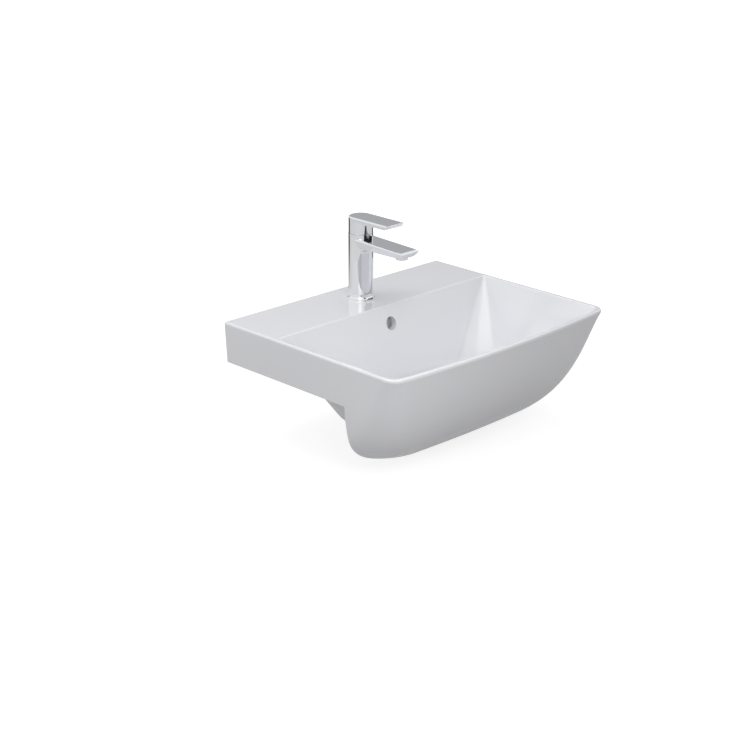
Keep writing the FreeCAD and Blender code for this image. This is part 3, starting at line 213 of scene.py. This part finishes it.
def reflected_card(name, place, width, height, tone):
    """An upright card that only reflections see, turned to the tap's axis."""
    card, tree = rectangle(name, width / 2, height / 2)
    glow = tree.nodes.new("ShaderNodeEmission")
    glow.inputs["Color"].default_value = (tone, tone, tone * CARD_BLUE, 1)
    tree.links.new(glow.outputs[0], tree.nodes["Material Output"].inputs["Surface"])
    card.visible_camera = False
    card.visible_diffuse = False
    card.visible_transmission = False
    card.visible_volume_scatter = False
    card.visible_shadow = False
    tap_level_with_card = Vector((0, TAP_BACK, place[2]))
    set_up(card, place, tap_level_with_card - Vector(place), "Z")


make_world()
make_floor(cad_box[0].z)

area_light("overhead", place=(-0.2, 0.1, 2.5), target=(0, -0.2, 0), width=2.6, height=2.2, power=29)
area_light("front_left", place=(-1.5, -1.2, 0.75), target=(-0.1, -0.3, 0), width=0.9, height=0.9, power=2.6)
area_light("near_front", place=(-0.45, -0.95, 0.45), target=(-0.2, -0.35, 0), width=0.5, height=0.4,
           power=1.75, mirrored=False)
area_light("left_behind", place=(-0.95, 0.5, 0.5), target=(-0.28, -0.1, 0), width=0.5, height=0.5,
           power=1.7, mirrored=False)

reflected_card("grey_card_behind", place=(2.1, 2.0, 1.05), width=2.6, height=1.3, tone=0.46)
reflected_card("dark_strip_behind", place=(0.45, 0.45, 0), width=1.8, height=0.28, tone=0.06)
reflected_card("dark_card_front", place=(1.3, -1.95, 1.15), width=5.6, height=0.9, tone=0.02)

# ---------------------------------------------------------------- what a finish is made of

NOISE_LOW = 0.3             # the noise keeps mostly between these
NOISE_HIGH = 0.7
MIX_FACTOR = 0              # a Mix node's sockets when it mixes colours
MIX_FIRST = 6
MIX_SECOND = 7
MIX_RESULT = 2


def new_material(name, colour, roughness, metallic=0.0):
    """A material, its node tree and its surface shader."""
    material = bpy.data.materials.new(name)
    material.use_nodes = True
    surface = material.node_tree.nodes["Principled BSDF"]
    surface.inputs["Base Color"].default_value = (*colour, 1)
    surface.inputs["Roughness"].default_value = roughness
    surface.inputs["Metallic"].default_value = metallic
    return material, material.node_tree, surface


def noise(tree, scale, detail, stretch=(1, 1, 1)):
    """Noise fixed to the object's own coordinates, with its scale in cells per metre."""
    place = tree.nodes.new("ShaderNodeTexCoord")
    mapping = tree.nodes.new("ShaderNodeMapping")
    mapping.inputs["Scale"].default_value = stretch
    pattern = tree.nodes.new("ShaderNodeTexNoise")
    pattern.inputs["Scale"].default_value = scale
    pattern.inputs["Detail"].default_value = detail
    tree.links.new(place.outputs["Object"], mapping.inputs["Vector"])
    tree.links.new(mapping.outputs["Vector"], pattern.inputs["Vector"])
    return pattern.outputs["Fac"]


def tint(tree, surface, pattern, first, second):
    """Let the colour wander between two others."""
    mixer = tree.nodes.new("ShaderNodeMix")
    mixer.data_type = "RGBA"
    mixer.inputs[MIX_FIRST].default_value = (*first, 1)
    mixer.inputs[MIX_SECOND].default_value = (*second, 1)
    tree.links.new(pattern, mixer.inputs[MIX_FACTOR])
    tree.links.new(mixer.outputs[MIX_RESULT], surface.inputs["Base Color"])


def uneven_gloss(tree, surface, pattern, low, high):
    """Let the roughness wander between two values."""
    wandering = mapped(tree, pattern, low, high, NOISE_LOW, NOISE_HIGH)
    tree.links.new(wandering, surface.inputs["Roughness"])


def relief(tree, surface, pattern, depth):
    """Let the surface rise and fall by a depth."""
    bump = tree.nodes.new("ShaderNodeBump")
    bump.inputs["Strength"].default_value = 1.0
    bump.inputs["Distance"].default_value = depth
    tree.links.new(pattern, bump.inputs["Height"])
    tree.links.new(bump.outputs["Normal"], surface.inputs["Normal"])


# ---------------------------------------------------------------- finishes


def glaze():
    """Fired white glaze: glassy, with a faint slow waviness and a slightly uneven gloss."""
    material, tree, surface = new_material("white_glaze", (0.852, 0.857, 0.886), roughness=0.1)
    tint(tree, surface, noise(tree, scale=9, detail=2), (0.845, 0.851, 0.883), (0.858, 0.862, 0.889))
    uneven_gloss(tree, surface, noise(tree, scale=22, detail=3), low=0.07, high=0.13)
    relief(tree, surface, noise(tree, scale=34, detail=1.5), depth=0.00012)
    surface.inputs["IOR"].default_value = 1.5
    surface.inputs["Coat Weight"].default_value = 0.35
    surface.inputs["Coat Roughness"].default_value = 0.04
    return material


def chrome():
    """Polished chrome plate."""
    material, tree, surface = new_material("polished_chrome", (0.78, 0.79, 0.81), roughness=0.06,
                                           metallic=1.0)
    tint(tree, surface, noise(tree, scale=40, detail=2), (0.77, 0.78, 0.805), (0.79, 0.80, 0.815))
    uneven_gloss(tree, surface, noise(tree, scale=60, detail=3), low=0.035, high=0.075)
    return material


def turned_metal(name, first, second, roughness):
    """Metal turned on a lathe, with fine rings across its axis."""
    material, tree, surface = new_material(name, first, roughness, metallic=1.0)
    rings = noise(tree, scale=900, detail=2, stretch=(0.03, 0.03, 1))
    tint(tree, surface, noise(tree, scale=120, detail=3), first, second)
    uneven_gloss(tree, surface, rings, low=roughness - 0.08, high=roughness + 0.1)
    relief(tree, surface, rings, depth=0.00002)
    return material


def rubber():
    """Black moulded rubber with a dusty bloom."""
    material, tree, surface = new_material("black_rubber", (0.03, 0.03, 0.032), roughness=0.7)
    tint(tree, surface, noise(tree, scale=180, detail=4), (0.022, 0.022, 0.024), (0.05, 0.05, 0.052))
    uneven_gloss(tree, surface, noise(tree, scale=400, detail=3), low=0.55, high=0.8)
    relief(tree, surface, noise(tree, scale=1500, detail=3), depth=0.00003)
    return material


def moulded_plastic(name, first, second, roughness):
    """Moulded plastic with a faint grain."""
    material, tree, surface = new_material(name, first, roughness)
    tint(tree, surface, noise(tree, scale=90, detail=3), first, second)
    patches = noise(tree, scale=300, detail=3)
    uneven_gloss(tree, surface, patches, low=roughness - 0.06, high=roughness + 0.08)
    relief(tree, surface, noise(tree, scale=1200, detail=3), depth=0.000015)
    return material


def lapped_ceramic():
    """Dense cartridge ceramic, lapped smooth."""
    material, tree, surface = new_material("lapped_ceramic", (0.82, 0.79, 0.72), roughness=0.22)
    tint(tree, surface, noise(tree, scale=250, detail=4), (0.80, 0.77, 0.70), (0.86, 0.83, 0.77))
    uneven_gloss(tree, surface, noise(tree, scale=500, detail=2), low=0.16, high=0.28)
    return material


FINISHES = {
    "glaze": glaze(),
    "chrome": chrome(),
    "brass": turned_metal("turned_brass", (0.62, 0.44, 0.19), (0.70, 0.52, 0.25), roughness=0.28),
    "steel": turned_metal("turned_steel", (0.50, 0.50, 0.49), (0.60, 0.60, 0.59), roughness=0.32),
    "seal_rubber": rubber(),
    "cartridge_plastic": moulded_plastic("ivory_plastic", (0.74, 0.73, 0.69), (0.80, 0.79, 0.76),
                                         roughness=0.42),
    "disc_ceramic": lapped_ceramic(),
    "index_plastic": moulded_plastic("grey_plastic", (0.30, 0.31, 0.33), (0.36, 0.37, 0.39), roughness=0.3),
}

SMOOTH_ANGLE = 32           # degrees; edges sharper than this stay sharp


def dress(piece, finish):
    """Give a piece its finish and smooth shading, with its real edges kept sharp."""
    mesh = piece.data
    mesh.materials.clear()
    mesh.materials.append(finish)
    mesh.polygons.foreach_set("use_smooth", [True] * len(mesh.polygons))
    sharp = piece.modifiers.new("sharp_edges", "EDGE_SPLIT")
    sharp.split_angle = math.radians(SMOOTH_ANGLE)


for entry in frame["record"]["subparts"]:
    dress(frame["nodes"][entry["node"]], FINISHES[entry["material_slot"]])

# ---------------------------------------------------------------- glaze round the drain

RECESS_RADIUS = 0.0336      # just outside the recess for the waste's flange
DIP_RADIUS = 0.1            # within this radius the casting's floor dips to the recess
DIP = 0.006
FLOOR = -0.072              # the level of the bowl's flat floor
FLOOR_BACK = -0.2254        # just past the foot of the bowl's back wall
FLOOR_FRONT = -0.3532       # just past the foot of its front wall
GLAZE_ABOVE = 0.00004       # the glaze stands this far over the flat floor
GLAZE_BELOW = 0.0003        # and reaches this far into the casting
GLAZE_EASE = 1.5            # above 1, the glaze levels out towards its edge
GLAZE_TURNS = 144           # steps round the drain
GLAZE_RINGS = 12            # steps from the recess to the edge


def glaze_reach(back):
    """How far the glaze goes from the drain's axis, in a direction with this share of it to the wall."""
    if back > 0:
        return min(DIP_RADIUS, (FLOOR_BACK - DRAIN_BACK) / back)
    if back < 0:
        return min(DIP_RADIUS, (FLOOR_FRONT - DRAIN_BACK) / back)
    return DIP_RADIUS


def glaze_spokes():
    """The points over and under the glaze, from the recess outwards, direction by direction."""
    over = []
    under = []
    for turn in range(GLAZE_TURNS):
        angle = 2 * math.pi * turn / GLAZE_TURNS
        side = math.sin(angle)
        back = math.cos(angle)
        reach = glaze_reach(back)
        for ring in range(GLAZE_RINGS + 1):
            share = ring / GLAZE_RINGS
            radius = RECESS_RADIUS + (reach - RECESS_RADIUS) * share
            risen = (radius - RECESS_RADIUS) / (DIP_RADIUS - RECESS_RADIUS)
            x = radius * side
            y = DRAIN_BACK + radius * back
            over.append((x, y, FLOOR - DIP * (1 - share) ** GLAZE_EASE + GLAZE_ABOVE))
            under.append((x, y, FLOOR - DIP * (1 - risen) - GLAZE_BELOW))
    return over, under


def bowl_floor_glaze():
    """A closed ring of glaze that leads the dip round the drain up to the feet of the bowl's walls."""
    over, under = glaze_spokes()
    lower = len(over)
    faces = []
    for turn in range(GLAZE_TURNS):
        here = turn * (GLAZE_RINGS + 1)
        there = (turn + 1) % GLAZE_TURNS * (GLAZE_RINGS + 1)
        for ring in range(GLAZE_RINGS):
            top = (here + ring, there + ring, there + ring + 1, here + ring + 1)
            faces.append(top)
            faces.append(tuple(lower + point for point in reversed(top)))
        faces.append((here, lower + here, lower + there, there))
        here_edge = here + GLAZE_RINGS
        there_edge = there + GLAZE_RINGS
        faces.append((here_edge, there_edge, lower + there_edge, lower + here_edge))
    mesh = bpy.data.meshes.new("bowl_floor_glaze")
    mesh.from_pydata(over + under, [], faces)
    glaze_piece = bpy.data.objects.new("bowl_floor_glaze", mesh)
    bpy.context.scene.collection.objects.link(glaze_piece)
    dress(glaze_piece, FINISHES["glaze"])
    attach(glaze_piece, "fixed")


bowl_floor_glaze()

# ---------------------------------------------------------------- view transform

bpy.context.scene.view_settings.view_transform = "Standard"
